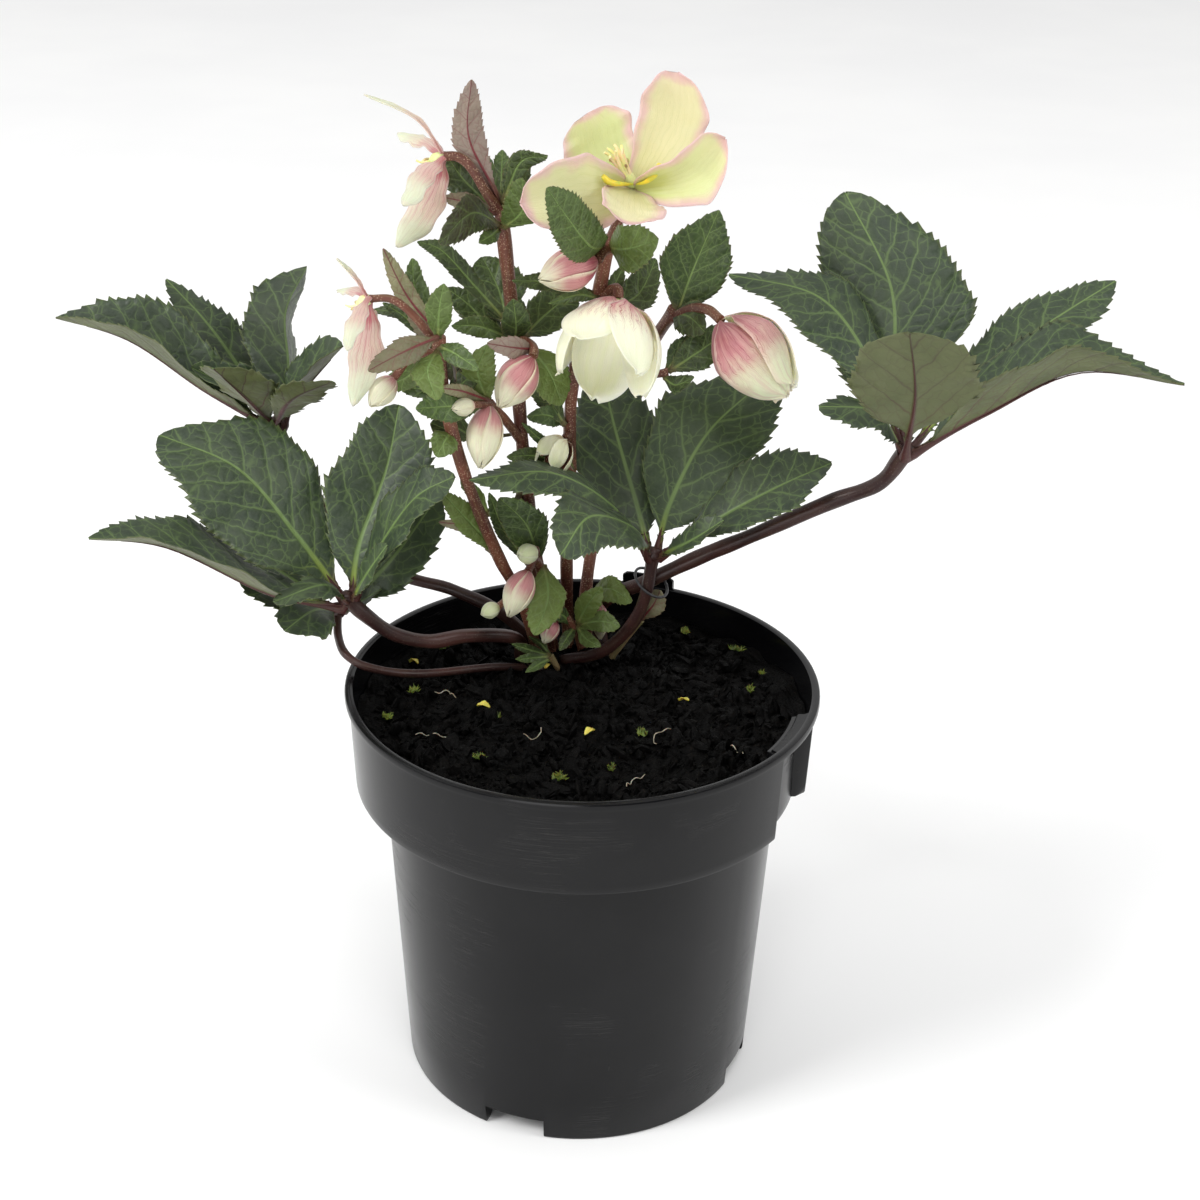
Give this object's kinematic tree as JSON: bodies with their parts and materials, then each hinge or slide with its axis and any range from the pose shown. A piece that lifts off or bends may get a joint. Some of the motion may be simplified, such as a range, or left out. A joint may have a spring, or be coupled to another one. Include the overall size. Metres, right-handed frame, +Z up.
{
  "type": "potted hellebore plant",
  "caption": "Hellebore plant in bloom with fingered dark leaves, nodding cream and pink flowers and buds, growing in a black round nursery pot of compost.",
  "frame": {"origin": "middle of the flat disc under the pot, on the surface that the pot stands on", "axes": "+Z up, +X across the plant along its widest spread of leaves, -Y towards the side that the open flowers face"},
  "size_m": [0.4491, 0.2086, 0.4189],
  "materials": {
    "pot_plastic": "black moulded plastic, satin, lightly scratched",
    "compost": "dark crumbly compost, damp",
    "tie_wire": "thin black plastic-covered wire",
    "leaf_stalk": "dark red-brown, smooth",
    "leaf": "dark green, leathery, with pale veins",
    "young_leaf": "soft yellow-green",
    "flower_stem": "red-brown stem with fresh green small leaves",
    "stamens": "yellow, fine",
    "sepal_green_cream": "greenish cream with pink edges, soft",
    "sepal_cream": "cream with pink veins at the base, soft",
    "sepal_pink": "dusky pink over green, soft",
    "bud": "cream with pink veins, soft"
  },
  "bodies": {
    "root": {"pot": "pot_plastic", "soil": "compost", "tie_ring": "tie_wire", "bell_bloom_middle": "stamens", "bell_bloom_sepals": "sepal_cream", "bud_1": "bud", "bud_10": "bud", "bud_11": "bud", "bud_2": "bud", "bud_3": "bud", "bud_4": "bud", "bud_5": "bud", "bud_6": "bud", "bud_7": "bud", "bud_8": "bud", "bud_9": "bud", "flower_stem_back": "flower_stem", "flower_stem_left": "flower_stem", "flower_stem_low": "flower_stem", "flower_stem_middle": "flower_stem", "flower_stem_short": "flower_stem", "flower_stem_tall": "flower_stem", "full_bud": "sepal_cream", "leaf_centre": "leaf", "leaf_left_back": "leaf", "leaf_left_front": "leaf", "leaf_left_low": "leaf", "leaf_right": "leaf", "leaf_stalk_centre": "leaf_stalk", "leaf_stalk_left_back": "leaf_stalk", "leaf_stalk_left_front": "leaf_stalk", "leaf_stalk_left_low": "leaf_stalk", "leaf_stalk_right": "leaf_stalk", "lower_side_bloom_middle": "stamens", "lower_side_bloom_sepals": "sepal_pink", "open_bloom_middle": "stamens", "open_bloom_sepals": "sepal_green_cream", "upper_side_bloom_middle": "stamens", "upper_side_bloom_sepals": "sepal_pink", "young_leaf": "young_leaf", "young_shoot": "young_leaf"}
  },
  "joints": []
}
